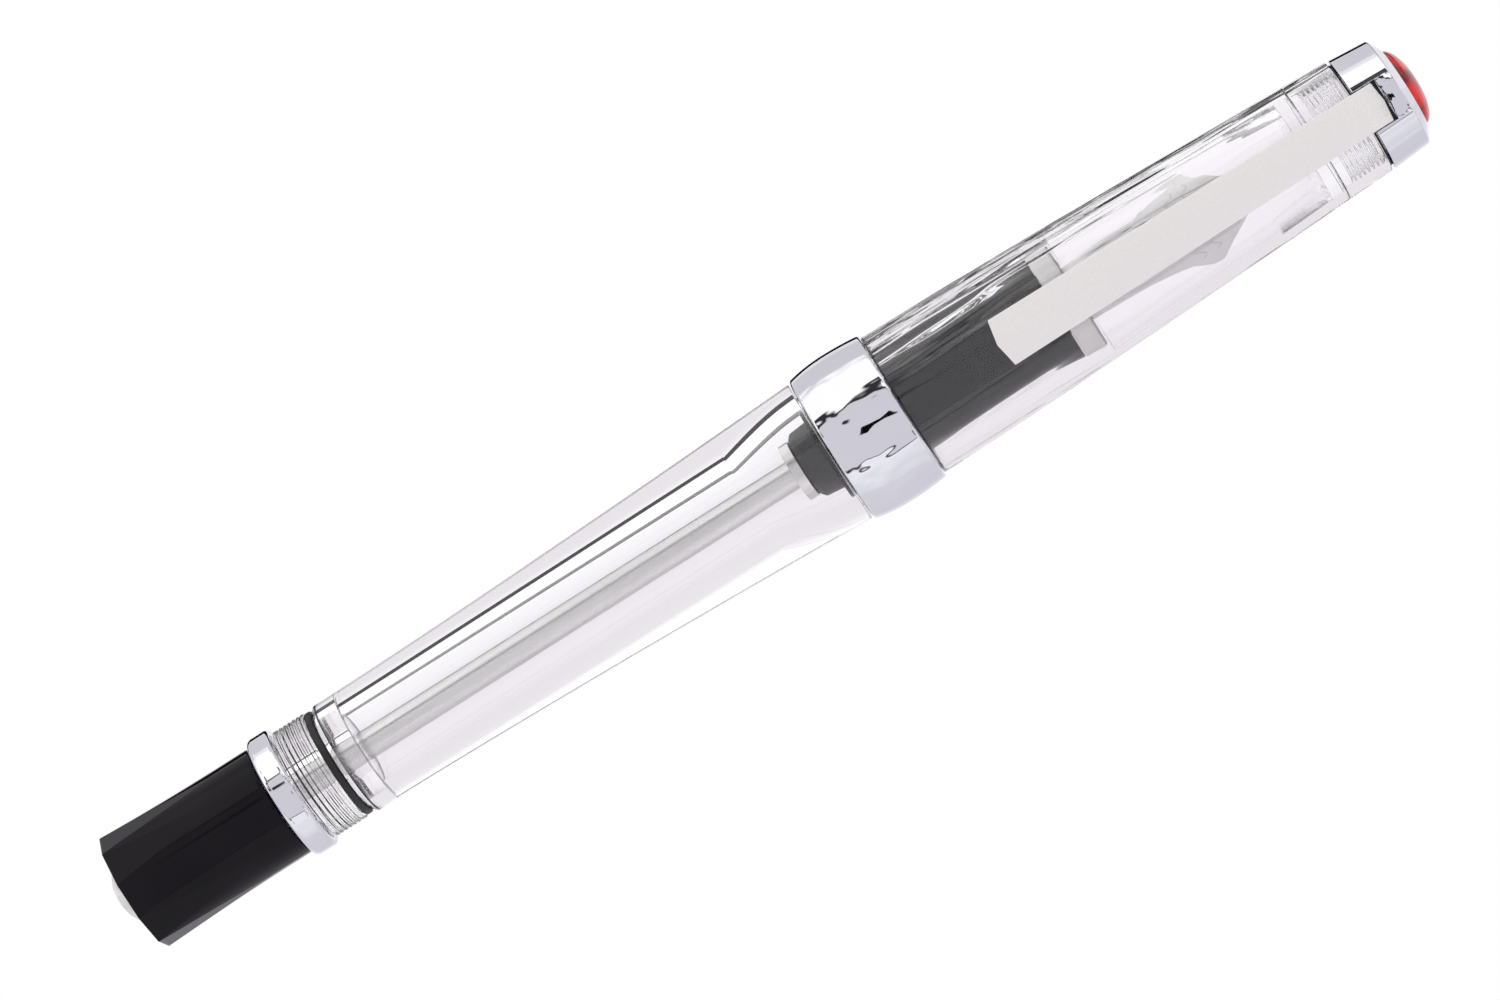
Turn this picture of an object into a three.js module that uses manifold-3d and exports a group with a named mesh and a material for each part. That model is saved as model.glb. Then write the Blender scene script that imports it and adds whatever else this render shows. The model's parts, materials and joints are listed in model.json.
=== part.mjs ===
// A capped, clear, vacuum-filling fountain pen lying on its side, as separate solids.
// Units are millimetres. +X runs along the pen towards the top of the cap, +Z towards the clip.
// The origin is under the middle of the pen, on the surface that the cap band touches.
// A station is a distance along the pen from the tip of the dome at its rear end.

import * as THREE from "three";
import { mergeVertices } from "three/addons/utils/BufferGeometryUtils.js";
import Module from "manifold-3d";

const wasm = await Module();
wasm.setup();

// ---- driving dimensions ----

const LENGTH = 144.2; // capped, from the rear dome to the jewel
const AXIS_HEIGHT = 8; // the cap band's radius, so the band rests on the surface
const SIDES = 32; // facets round the outer pieces
const FEW_SIDES = 24; // facets round the inner pieces
const ROD_SIDES = 16;
const GAP = 0.05; // between fixed neighbours

const BLIND_CAP = { back: 1.64, front: 18.1, backRadius: 6.05, frontRadius: 5.78, facets: 10 };
const BLIND_CAP_TURN = 22.2; // degrees from the clip's side to the first facet corner at the rear
const COLLAR = { back: 15, radius: 5.72 }; // where the facets run out before the chrome ring
const BLIND_RING = { back: 18.2, front: 20.68, radius: 6.35, bore: 4.4, rounding: 0.5 };
const DOME = { height: 1.5, radius: 3.3, depth: 2.8 };
const INSERT = { back: 4.4, front: 9.2, radius: 2.5, floor: 5 };

const ROD = { back: 5.1, front: 82.9, radius: 1.42, hole: 1.5 };
const WASHER = { back: 75.35, front: 76.4, radius: 2.95 };
const SEAL = { back: 76.45, front: 81.1, backRadius: 2.8, noseRadius: 2.3, radius: 3.6 };
const TIP_NUT = { back: 81.2, front: 82.6, radius: 2.2, sides: 6 };

const GLAND = { back: 10, front: 27.6, stub: 4, bore: 1.6, socket: 2.9, socketFloor: 13.3 };
const GLAND_THREAD = { back: 20.95, front: 24.15, crest: 5.75, root: 5.35, pitch: 0.48 };
const GLAND_GROOVE = { front: 25.15, radius: 4.9, nose: 4.45 };
const GLAND_RING = { outer: 5.6, inner: 4.95 };
const ROD_SEAL = { outer: 2.8, thickness: 1.05 };

const BARREL = { back: 25.2, shoulder: 79.45, front: 86.55, backRadius: 5.8, radius: 7.37 };
const BARREL_BORE = { radius: 3.7, flareBack: 70.8, flareFront: 77.6, chamber: 4.95 };
const BARREL_SOCKET = { depth: 27.65, radius: 4.5 };
const BARREL_THREAD = 5.95; // the cap screws on here, inside the cap band
const BARREL_SWELL = 1.5; // power of the barrel's gentle outward curve

const GRIP = { back: 79, front: 104.35, radius: 4.8, lip: 5.3, lipBack: 100.8, bore: 3.6 };
const GRIP_SEAT = { mouth: 3.95, front: 82.3, throat: 2.6, throatFront: 90 };
const GRIP_FLANGE = { back: 86.7, front: 87.35, radius: 5.7 };
const GRIP_GROOVE = { back: 84.4, front: 85.3, radius: 4.35 };
const TRIM_RING = { back: 104.42, front: 106.75, backRadius: 5.35, frontRadius: 5.5 };
const COLLAR_SLEEVE = { back: 91, front: 104.3, outer: 3.5, inner: 3.1 };

const NIB = { back: 93, bend: 107, tip: 127.6, thickness: 0.35, ridge: 3, tipRidge: 1.3 };
const NIB_CURVE = { base: 3, shoulderAt: 119, shoulder: 6 }; // radius across the nib
const NIB_HALF_WIDTHS = [
  [NIB.back, 2.9], [NIB.bend, 2.8], [113, 2.95], [117, 3.5], [119.3, 4.4],
  [120.2, 4.5], [121.5, 3.7], [124.5, 2], [127, 0.75], [NIB.tip, 0.35],
];
const FEED_OUTLINE = [ // station, half width, underside height below the axis
  [91.5, 2.4, 2.4], [109, 2.4, 2.4], [112.5, 2.3, 2.1], [116, 1.9, 1.2], [119.5, 0.9, -0.3],
];
const FEED_GAP = 0.25;

const CAP = { back: 80.25, shoulder: 87.5, front: 137.8, mouth: 6.9, radius: 7.42, top: 5.93 };
const CAP_BORE = { mouth: 6.15, body: 6.35, step: 107, mid: 126, midRadius: 5.62 };
const CAP_SOCKET = { back: 133, radius: 5.25, thread: 5.1 };
const CAP_TAPER = 1.35; // power of the cap's gentle inward curve
const BAND = { back: 79.66, front: 87.44, bore: 6.95, lip: 6.3, lipFront: 80.2 };
const BAND_RADII = { back: 7.58, front: 7.76, widestAt: 0.48 };
const LINER = { back: 106.97, front: 132.9, floor: 131.6, wall: 0.5, fit: 0.07 };

const PLUG = { back: 133.05, front: 141.3, flange: 5, neck: 4.1, neckBack: 137.7 };
const PLUG_THREAD = { back: 133.9, front: 137.5, crest: 4.95, root: 4.6, pitch: 0.5 };
const GASKET = { back: 137.85, front: 138.05, outer: 5.5, inner: 4.6 };
const TOP_RING = { back: 138.1, shoulder: 142, front: 142.8, backRadius: 5.9, radius: 5.6 };
const TOP_RING_BORE = { radius: 4.3, seatBack: 141.5, seat: 4.1 };
const JEWEL = { back: 141.6, domeBack: 142.65, radius: 4 };

const CLIP = { tip: 97.95, root: 138.54, tipHalfWidth: 2.42, rootHalfWidth: 2.03 };
const CLIP_HEIGHT = { tip: 10.4, root: 8, thickness: 1.3, gable: 0.35, pad: 7.5 };
const CLIP_PAD = { back: 98.6, front: 101.2, blend: 104, point: 0.5 };
const CLIP_TAB = { back: 138.95, front: 140.3, foot: 4.65, emerge: 5.6 };
const SLOT = { front: 140.62, clearance: 0.14 };

// ---- materials ----

function material(color, roughness, metalness, extra = {}) {
  return new THREE.MeshStandardMaterial({ color, roughness, metalness, ...extra });
}

const CLEAR = material(0xf4f2f6, 0.05, 0, { transparent: true, opacity: 0.35 });
const BLACK_PLASTIC = material(0x0c0b0d, 0.12, 0);
const CHROME = material(0xd8d9e0, 0.06, 1);
const SATIN_STEEL = material(0xd2cfcc, 0.45, 1);
const STEEL = material(0xb4b2ac, 0.3, 1);
const BRASS = material(0xb08d4c, 0.35, 1);
const RUBBER = material(0x171517, 0.6, 0);
const PEARL = material(0xd9dad4, 0.25, 0.3);
const RED = material(0xc21c12, 0.08, 0);

// ---- shape helpers ----

// Turned piece about the pen's axis. A profile is [station, radius] pairs, up the outside and
// down the inside; it starts and ends on the axis, or closes on itself.
function turned(profile, sides = SIDES) {
  const points = profile.map(([station, radius]) => new THREE.Vector2(radius, station));
  if (profile[0][1] > 0) points.push(points[0].clone());
  return new THREE.LatheGeometry(points, sides).rotateZ(-Math.PI / 2);
}

function tube(back, front, outer, inner, sides = FEW_SIDES) {
  return turned([[back, inner], [back, outer], [front, outer], [front, inner]], sides);
}

// Points of a curve from one station to another, with the radius given by a formula.
function sweep(from, to, steps, radiusAt) {
  return Array.from({ length: steps + 1 }, (_, i) => {
    const station = from + ((to - from) * i) / steps;
    return [station, radiusAt(station)];
  });
}

// Ridges of a screw thread, drawn as rings.
function ridges({ back, front, crest, root, pitch }) {
  const turns = Math.floor((front - back) / pitch);
  const points = [];
  for (let i = 0; i < turns; i += 1) {
    points.push([back + i * pitch, root], [back + (i + 0.5) * pitch, crest]);
  }
  points.push([back + turns * pitch, root]);
  return points;
}

// Straight-line value of a [station, value, ...] table at a station.
function along(table, station, column = 1) {
  const next = Math.max(1, table.findIndex(([at]) => at >= station));
  const [a, b] = [table[next - 1], table[next]];
  return THREE.MathUtils.mapLinear(station, a[0], b[0], a[column], b[column]);
}

// Closed skin through rings of [station, y, z] points with the same count in each ring.
// A ring runs over the top from +Y to -Y and back underneath.
function loft(rings) {
  const count = rings[0].length;
  const lid = (ring) =>
    THREE.ShapeUtils.triangulateShape(ring.map(([, y, z]) => new THREE.Vector2(y, z)), []);
  const index = [];
  for (let i = 0; i < rings.length - 1; i += 1) {
    for (let k = 0; k < count; k += 1) {
      const [a, b] = [i * count + k, i * count + ((k + 1) % count)];
      index.push(a, b, a + count, a + count, b, b + count);
    }
  }
  for (const [a, b, c] of lid(rings[0])) index.push(c, b, a);
  const last = (rings.length - 1) * count;
  for (const [a, b, c] of lid(rings.at(-1))) index.push(last + a, last + b, last + c);
  const geometry = new THREE.BufferGeometry();
  geometry.setAttribute("position", new THREE.Float32BufferAttribute(rings.flat(2), 3));
  geometry.setIndex(index);
  return geometry;
}

function solid(geometry) {
  const bare = geometry.clone();
  bare.deleteAttribute("normal");
  bare.deleteAttribute("uv");
  const merged = mergeVertices(bare, 1e-4);
  return new wasm.Manifold(
    new wasm.Mesh({
      numProp: 3,
      vertProperties: new Float32Array(merged.attributes.position.array),
      triVerts: new Uint32Array(merged.index.array),
    }),
  );
}

function geometryOf(manifold) {
  const mesh = manifold.getMesh();
  const geometry = new THREE.BufferGeometry();
  geometry.setAttribute("position", new THREE.Float32BufferAttribute(mesh.vertProperties, 3));
  geometry.setIndex([...mesh.triVerts]);
  return geometry;
}

const pen = new THREE.Group();
pen.position.set(-LENGTH / 2, 0, AXIS_HEIGHT);

function add(name, geometry, look) {
  const mesh = new THREE.Mesh(geometry, look);
  mesh.name = name;
  pen.add(mesh);
}

// ---- rear: blind cap, chrome ring, end dome, insert ----

// Corners of a regular polygon round the axis, from the clip's side towards -Y.
function polygon(station, radius, corners, turn) {
  return Array.from({ length: corners }, (_, k) => {
    const angle = THREE.MathUtils.degToRad(turn + (k * 360) / corners);
    return [station, -radius * Math.sin(angle), radius * Math.cos(angle)];
  });
}

// Twisted facets: the corners at the front stand half a facet round from those at the rear.
function facetedBody() {
  const { back, front, backRadius, frontRadius, facets } = BLIND_CAP;
  const rear = polygon(back, backRadius, facets, BLIND_CAP_TURN);
  const fore = polygon(front, frontRadius, facets, BLIND_CAP_TURN + 180 / facets);
  return loft([rear, fore]);
}

function blindCap() {
  const collar = turned([
    [COLLAR.back, 0], [COLLAR.back, COLLAR.radius],
    [BLIND_CAP.front, COLLAR.radius], [BLIND_CAP.front, 0],
  ]);
  const threadBore = GLAND.back - 0.4;
  const hollow = turned([
    [INSERT.back - 0.1, 0], [INSERT.back - 0.1, INSERT.radius + GAP],
    [threadBore, INSERT.radius + GAP], [threadBore, BLIND_RING.bore - GAP],
    [BLIND_CAP.front + 1, BLIND_RING.bore - GAP], [BLIND_CAP.front + 1, 0],
  ]);
  const pocketFloor = DOME.depth + 0.1;
  const pocket = turned([
    [0, 0], [0, DOME.radius + GAP], [pocketFloor, DOME.radius + GAP], [pocketFloor, 0],
  ]);
  const body = solid(facetedBody()).add(solid(collar));
  return geometryOf(body.subtract(solid(hollow)).subtract(solid(pocket)));
}

function blindCapRing() {
  const { back, front, radius, bore, rounding } = BLIND_RING;
  return turned([
    [back, bore], [back, radius - rounding], [back + 0.15, radius - 0.15],
    [back + rounding, radius], [front - 0.3, radius], [front, radius - 0.3], [front, bore],
  ]);
}

function endDome() {
  const ball = (DOME.radius ** 2 + DOME.height ** 2) / (2 * DOME.height);
  const curve = sweep(0, DOME.height, 5, (s) => Math.sqrt(2 * ball * s - s * s));
  return turned([...curve, [DOME.depth, DOME.radius], [DOME.depth, 0]], FEW_SIDES);
}

function rodInsert() {
  return turned([
    [INSERT.floor, 0], [INSERT.floor, ROD.hole], [INSERT.front, ROD.hole],
    [INSERT.front, INSERT.radius], [INSERT.back, INSERT.radius], [INSERT.back, 0],
  ].reverse(), ROD_SIDES);
}

add("blind_cap", blindCap(), BLACK_PLASTIC);
add("blind_cap_ring", blindCapRing(), CHROME);
add("blind_cap_end_dome", endDome(), PEARL);
add("rod_insert", rodInsert(), BRASS);

// ---- plunger: rod, washer, seal, nut ----

function rod() {
  const { back, front, radius } = ROD;
  return turned([[back, 0], [back, radius], [front, radius], [front, 0]], ROD_SIDES);
}

function plungerSeal() {
  const { back, front, backRadius, noseRadius, radius } = SEAL;
  return turned([
    [back, ROD.hole], [back, backRadius], [back + 0.55, 3.4], [back + 2.55, radius],
    [back + 3.05, 3.3], [front, noseRadius], [front, ROD.hole],
  ], FEW_SIDES);
}

add("plunger_rod", rod(), STEEL);
add("plunger_washer", tube(WASHER.back, WASHER.front, WASHER.radius, ROD.hole), STEEL);
add("plunger_seal", plungerSeal(), RUBBER);

function tipNut() {
  const hex = turned([
    [TIP_NUT.back, 0], [TIP_NUT.back, TIP_NUT.radius],
    [TIP_NUT.front, TIP_NUT.radius], [TIP_NUT.front, 0],
  ], TIP_NUT.sides);
  const hole = turned([
    [TIP_NUT.back - 1, 0], [TIP_NUT.back - 1, ROD.hole],
    [TIP_NUT.front + 1, ROD.hole], [TIP_NUT.front + 1, 0],
  ], ROD_SIDES);
  return geometryOf(solid(hex).subtract(solid(hole)));
}

add("plunger_tip_nut", tipNut(), STEEL);

// ---- rear gland: the clear threaded connector that the rod slides through ----

function rearGland() {
  const { back, front, stub, bore, socket, socketFloor } = GLAND;
  const groove = GLAND_GROOVE;
  return turned([
    [socketFloor, bore], [socketFloor, socket], [back, socket], [back, stub],
    [GLAND_THREAD.back - 0.05, stub], ...ridges(GLAND_THREAD),
    [GLAND_THREAD.front, GLAND_THREAD.crest], [GLAND_THREAD.front, groove.radius],
    [groove.front, groove.radius], [groove.front, groove.nose], [front, groove.nose],
    [front, bore],
  ], FEW_SIDES);
}

add("rear_gland", rearGland(), CLEAR);
add(
  "gland_o_ring",
  turned([
    [24.2, GLAND_RING.inner], [24.2, GLAND_RING.outer - 0.2], [24.4, GLAND_RING.outer],
    [24.85, GLAND_RING.outer], [25.05, GLAND_RING.outer - 0.2], [25.05, GLAND_RING.inner],
  ]),
  RUBBER,
);

["gland_bush", "rod_seal_rear", "rod_seal_front"].forEach((name, i) => {
  const back = GLAND.back + 0.1 + i * (ROD_SEAL.thickness + GAP / 2);
  const look = i === 0 ? BLACK_PLASTIC : RUBBER;
  add(name, tube(back, back + ROD_SEAL.thickness - GAP, ROD_SEAL.outer, ROD.hole), look);
});

// ---- barrel ----

function barrel() {
  const { back, shoulder, front, backRadius, radius } = BARREL;
  const swell = (s) =>
    backRadius + (radius - backRadius) * ((s - back) / (shoulder - back)) ** BARREL_SWELL;
  return turned([
    [back, BARREL_SOCKET.radius], [back, backRadius - 0.3], ...sweep(back + 0.3, shoulder, 8, swell),
    [shoulder, BARREL_THREAD], [front, BARREL_THREAD], [front, BARREL_BORE.chamber],
    [BARREL_BORE.flareFront, BARREL_BORE.chamber], [BARREL_BORE.flareBack, BARREL_BORE.radius],
    [BARREL_SOCKET.depth, BARREL_BORE.radius], [BARREL_SOCKET.depth, BARREL_SOCKET.radius],
  ]);
}

add("barrel", barrel(), CLEAR);

// ---- section: grip, its seal and trim ring, nib collar, nib, feed ----

function gripSection() {
  const { back, front, radius, lip, lipBack, bore } = GRIP;
  return turned([
    [back, GRIP_SEAT.mouth], [back, radius],
    [GRIP_GROOVE.back, radius], [GRIP_GROOVE.back, GRIP_GROOVE.radius],
    [GRIP_GROOVE.front, GRIP_GROOVE.radius], [GRIP_GROOVE.front, radius],
    [GRIP_FLANGE.back, radius], [GRIP_FLANGE.back, GRIP_FLANGE.radius],
    [GRIP_FLANGE.front, GRIP_FLANGE.radius], [GRIP_FLANGE.front, radius],
    [lipBack, radius], [front, lip], [front, bore],
    [GRIP_SEAT.throatFront, bore], [GRIP_SEAT.throatFront, GRIP_SEAT.throat],
    [GRIP_SEAT.front, GRIP_SEAT.throat],
  ]);
}

function trimRing() {
  const { back, front, backRadius, frontRadius } = TRIM_RING;
  return turned([
    [back, GRIP.bore], [back, backRadius], [front - 0.2, frontRadius],
    [front, frontRadius - 0.2], [front, GRIP.bore],
  ]);
}

// Height of the nib's spine over the axis: level in the collar, then falling to the tip.
function spine(station) {
  const t = Math.max(0, (station - NIB.bend) / (NIB.tip - NIB.bend));
  return THREE.MathUtils.lerp(NIB.ridge, NIB.tipRidge, t);
}

// Radius of the nib's arch across the pen.
function arch(station) {
  const t = (station - NIB.bend) / (NIB_CURVE.shoulderAt - NIB.bend);
  return THREE.MathUtils.lerp(NIB_CURVE.base, NIB_CURVE.shoulder, THREE.MathUtils.clamp(t, 0, 1));
}

function nib() {
  const steps = 8;
  const rings = NIB_HALF_WIDTHS.map(([station, halfWidth]) => {
    const radius = arch(station);
    const half = Math.asin(halfWidth / radius);
    const centre = spine(station) - radius;
    const skin = (r) =>
      Array.from({ length: steps + 1 }, (_, i) => {
        const angle = half * ((2 * i) / steps - 1);
        return [station, -r * Math.sin(angle), centre + r * Math.cos(angle)];
      });
    return [...skin(radius), ...skin(radius - NIB.thickness).reverse()];
  });
  return loft(rings);
}

function feed() {
  const spots = [1, 0.5, 0, -0.5, -1]; // across the feed, in half widths
  const rings = FEED_OUTLINE.map(([station, halfWidth, depth]) => {
    const inner = arch(station) - NIB.thickness;
    const centre = spine(station) - arch(station);
    const under = (y) => centre + Math.sqrt(inner * inner - y * y) - FEED_GAP;
    const edge = under(halfWidth);
    const top = spots.map((f) => [station, f * halfWidth, under(f * halfWidth)]);
    const belly = [0.2, 0.4, 0.6, 0.8].map((f) => {
      const angle = f * Math.PI;
      const y = -halfWidth * Math.cos(angle);
      return [station, y, edge - (edge + depth) * Math.sin(angle)];
    });
    return [...top, ...belly];
  });
  return loft(rings);
}

add("grip_section", gripSection(), BLACK_PLASTIC);
add(
  "section_o_ring",
  tube(GRIP_GROOVE.back + 0.1, GRIP_GROOVE.front - 0.1, GRIP.radius + GAP, GRIP_GROOVE.radius + GAP),
  RUBBER,
);
add("section_trim_ring", trimRing(), SATIN_STEEL);
add(
  "nib_collar",
  tube(COLLAR_SLEEVE.back, COLLAR_SLEEVE.front, COLLAR_SLEEVE.outer, COLLAR_SLEEVE.inner),
  BLACK_PLASTIC,
);
add("nib", nib(), STEEL);
add("feed", feed(), BLACK_PLASTIC);

// ---- cap: body, band, liner ----

function capRadius(station) {
  const t = (station - CAP.shoulder) / (CAP.front - CAP.shoulder);
  return CAP.radius - (CAP.radius - CAP.top) * t ** CAP_TAPER;
}

function capBody() {
  return turned([
    [CAP.back, CAP_BORE.mouth], [CAP.back, CAP.mouth], [CAP.shoulder - GAP, CAP.mouth],
    ...sweep(CAP.shoulder, CAP.front, 7, capRadius),
    [CAP.front, CAP_SOCKET.thread], [CAP_SOCKET.back + 0.1, CAP_SOCKET.thread],
    [CAP_SOCKET.back, CAP_SOCKET.radius], [CAP_BORE.mid, CAP_BORE.midRadius],
    [CAP_BORE.step, CAP_BORE.body], [CAP.shoulder + 0.2, CAP_BORE.body],
    [CAP.shoulder - 0.3, CAP_BORE.mouth],
  ]);
}

// The band swells evenly from its edges to its widest circle.
function capBand() {
  const { back, front, bore, lip, lipFront } = BAND;
  const widest = back + (front - back) * BAND_RADII.widestAt;
  const swell = (s) => {
    const [edge, edgeRadius] =
      s < widest ? [back, BAND_RADII.back] : [front, BAND_RADII.front];
    return edgeRadius + (AXIS_HEIGHT - edgeRadius) * (1 - ((s - widest) / (edge - widest)) ** 2);
  };
  return turned([
    [back, lip], [back, BAND_RADII.back - 0.15],
    ...sweep(back + 0.15, widest, 3, swell), ...sweep(widest, front - 0.15, 3, swell).slice(1),
    [front, BAND_RADII.front - 0.15], [front, bore], [lipFront, bore], [lipFront, lip],
  ]);
}

function innerCap() {
  const { back, front, floor, wall, fit } = LINER;
  const outerMid = CAP_BORE.midRadius - fit;
  const outerFront = CAP_SOCKET.radius - fit;
  const mouthOuter = CAP_BORE.body - fit - 0.02;
  return turned([
    [floor, 0], [floor, outerFront - 2 * wall], [CAP_BORE.mid, outerMid - wall],
    [back, mouthOuter - wall], [back, mouthOuter], [CAP_BORE.mid, outerMid],
    [front, outerFront], [front, 0],
  ]);
}

add("cap_body", capBody(), CLEAR);
add("cap_band", capBand(), CHROME);
add("inner_cap", innerCap(), CLEAR);

// ---- cap top: plug, gasket, chrome ring, jewel, clip ----

function finialPlug() {
  const { back, front, flange, neck, neckBack } = PLUG;
  return turned([
    [back, 0], [back, flange], [PLUG_THREAD.back - 0.1, flange], ...ridges(PLUG_THREAD),
    [neckBack, PLUG_THREAD.root], [neckBack, neck], [front, neck], [front, 0],
  ], FEW_SIDES);
}

function slotCutter() {
  const halfWidth = CLIP.rootHalfWidth + SLOT.clearance;
  const [low, high] = [CLIP_TAB.foot - 0.9, AXIS_HEIGHT];
  const outline = (station) => [
    [station, halfWidth, high], [station, -halfWidth, high],
    [station, -halfWidth, low], [station, halfWidth, low],
  ];
  return loft([outline(TOP_RING.back - 1), outline(SLOT.front)]);
}

function topRing() {
  const { back, shoulder, front, backRadius, radius } = TOP_RING;
  const { radius: bore, seatBack, seat } = TOP_RING_BORE;
  const body = turned([
    [back, bore], [back, backRadius], [shoulder, radius], [shoulder + 0.1, radius - 0.08],
    [front, seat + 0.05], [front, seat], [seatBack, seat], [seatBack, bore],
  ]);
  return geometryOf(solid(body).subtract(solid(slotCutter())));
}

function jewel() {
  const { back, domeBack, radius } = JEWEL;
  const height = LENGTH - domeBack;
  const dome = (s) => radius * Math.sqrt(Math.max(0, 1 - ((s - domeBack) / height) ** 2));
  const fineNearTip = [0.3, 0.55, 0.75, 0.9, 1].map((t) => domeBack + t * height);
  return turned([
    [back, 0], [back, radius], [domeBack, radius], ...fineNearTip.map((s) => [s, dome(s)]),
  ], FEW_SIDES);
}

// One ring of the clip: flat underside, two sloping top facets that meet along a ridge.
function clipRing(station, halfWidth, top, bottom, point = 0, gable = CLIP_HEIGHT.gable) {
  return [
    [station, halfWidth, top - gable], [station - point, 0, top],
    [station, -halfWidth, top - gable], [station, -halfWidth, bottom],
    [station - point, 0, bottom], [station, halfWidth, bottom],
  ];
}

function clipBlade() {
  const height = [[CLIP.tip, CLIP_HEIGHT.tip], [CLIP.root, CLIP_HEIGHT.root]];
  const width = [[CLIP.tip, CLIP.tipHalfWidth], [CLIP.root, CLIP.rootHalfWidth]];
  const under = (s) => along(height, s) - CLIP_HEIGHT.thickness;
  const stops = [
    [CLIP.tip + CLIP_PAD.point, CLIP_HEIGHT.pad + 0.5, CLIP_PAD.point],
    [CLIP_PAD.back + 0.2, CLIP_HEIGHT.pad, 0],
    [CLIP_PAD.front, CLIP_HEIGHT.pad, 0],
    [CLIP_PAD.blend, under(CLIP_PAD.blend), 0],
    [CLIP.root, under(CLIP.root), 0],
  ];
  const rings = stops.map(([s, bottom, point]) =>
    clipRing(s, along(width, s), along(height, s), bottom, point));
  rings.push(clipRing(CLIP_TAB.front, CLIP.rootHalfWidth, CLIP_TAB.emerge, CLIP_TAB.emerge - 1, 0, 0.05));
  return loft(rings);
}

function clipTab() {
  const foot = (station) => [
    [station, CLIP.rootHalfWidth, CLIP_TAB.emerge - 0.1],
    [station, -CLIP.rootHalfWidth, CLIP_TAB.emerge - 0.1],
    [station, -CLIP.rootHalfWidth, CLIP_TAB.foot], [station, CLIP.rootHalfWidth, CLIP_TAB.foot],
  ];
  return loft([foot(CLIP_TAB.back), foot(CLIP_TAB.front)]);
}

add("finial_plug", finialPlug(), CLEAR);
add("top_gasket", tube(GASKET.back, GASKET.front, GASKET.outer, GASKET.inner), RUBBER);
add("cap_top_ring", topRing(), CHROME);
add("finial_jewel", jewel(), RED);
add("clip", geometryOf(solid(clipBlade()).add(solid(clipTab()))), SATIN_STEEL);

export default pen;
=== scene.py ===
"""Looks of a capped, clear, vacuum-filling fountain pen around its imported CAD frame.

Stations are millimetres along the pen from the tip of the dome at its rear end, radii are
millimetres from the pen's axis, and angles go round the axis from the clip's side (+Z) towards +Y.
Every turned piece is a smooth skin over the outline that its CAD node has.
"""

import json
import math
from collections import defaultdict

import bmesh
import bpy
from mathutils import Matrix, Vector

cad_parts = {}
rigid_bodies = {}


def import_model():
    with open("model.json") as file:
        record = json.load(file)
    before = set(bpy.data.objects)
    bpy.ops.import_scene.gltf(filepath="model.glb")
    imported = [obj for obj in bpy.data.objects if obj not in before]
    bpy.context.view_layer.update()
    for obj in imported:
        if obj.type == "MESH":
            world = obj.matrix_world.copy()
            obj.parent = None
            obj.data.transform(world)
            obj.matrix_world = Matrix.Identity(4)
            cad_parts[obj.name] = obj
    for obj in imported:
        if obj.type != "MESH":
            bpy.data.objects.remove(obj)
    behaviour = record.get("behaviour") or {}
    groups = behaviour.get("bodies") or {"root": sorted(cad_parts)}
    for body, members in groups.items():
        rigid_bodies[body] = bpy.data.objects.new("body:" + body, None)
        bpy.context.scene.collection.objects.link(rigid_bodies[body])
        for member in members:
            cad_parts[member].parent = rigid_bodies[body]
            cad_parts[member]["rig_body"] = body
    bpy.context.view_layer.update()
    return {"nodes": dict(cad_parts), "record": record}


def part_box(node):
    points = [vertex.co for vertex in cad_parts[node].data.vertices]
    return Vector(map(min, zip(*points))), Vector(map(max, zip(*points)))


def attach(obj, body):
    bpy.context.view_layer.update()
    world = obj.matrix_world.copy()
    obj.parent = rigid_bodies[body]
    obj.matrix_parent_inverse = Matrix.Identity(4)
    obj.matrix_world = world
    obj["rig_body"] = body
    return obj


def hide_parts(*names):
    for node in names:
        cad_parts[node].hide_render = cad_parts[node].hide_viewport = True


MM = 0.001
HAIR = 0.002 * MM  # points closer together than this are one point
FIT = 0.05  # between a hollow and what sits in it

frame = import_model()
NODES = frame["nodes"]
SLOT_OF = {part["node"]: part["material_slot"] for part in frame["record"]["subparts"]}
REAR_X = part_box("blind_cap_end_dome")[0].x
AXIS_Z = sum(corner.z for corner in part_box("barrel")) / 2
AROUND = 192  # facets round a turned piece, hidden by its smooth normals


def span(node):
    """Stations of a node's two ends."""
    return [(corner.x - REAR_X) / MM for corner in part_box(node)]


def girth(node):
    """Largest radius of a node, measured to its side."""
    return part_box(node)[1].y / MM


def lerp(a, b, t):
    return a + (b - a) * t


def smoothstep(low, high, value):
    t = min(1.0, max(0.0, (value - low) / (high - low)))
    return t * t * (3 - 2 * t)


def place(station, y, z):
    """A point from its station and its offsets from the axis."""
    return Vector((REAR_X + station * MM, y * MM, AXIS_Z + z * MM))


def polar(station, radius, angle):
    return place(station, radius * math.sin(angle), radius * math.cos(angle))


# ---- meshes ----


def link(name, mesh):
    piece = bpy.data.objects.new(name, mesh)
    bpy.context.scene.collection.objects.link(piece)
    return piece


def grid_normals(rows, loop):
    """Outward normals of a skin, from each point's neighbours along and round it.
    An open outline starts on the axis at its front end and stops there at its back end."""
    normals = []
    last = len(rows) - 1
    for i, row in enumerate(rows):
        before = rows[i - 1] if i or loop else row
        after = rows[(i + 1) % len(rows)] if i < last or loop else row
        if len(row) == 1:
            normals.append(Vector((1 if i == 0 else -1, 0, 0)))
            continue
        for k in range(len(row)):
            around = row[(k + 1) % len(row)] - row[k - 1]
            forward = after[k % len(after)] - before[k % len(before)]
            normals.append(around.cross(forward).normalized())
    return normals


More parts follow.
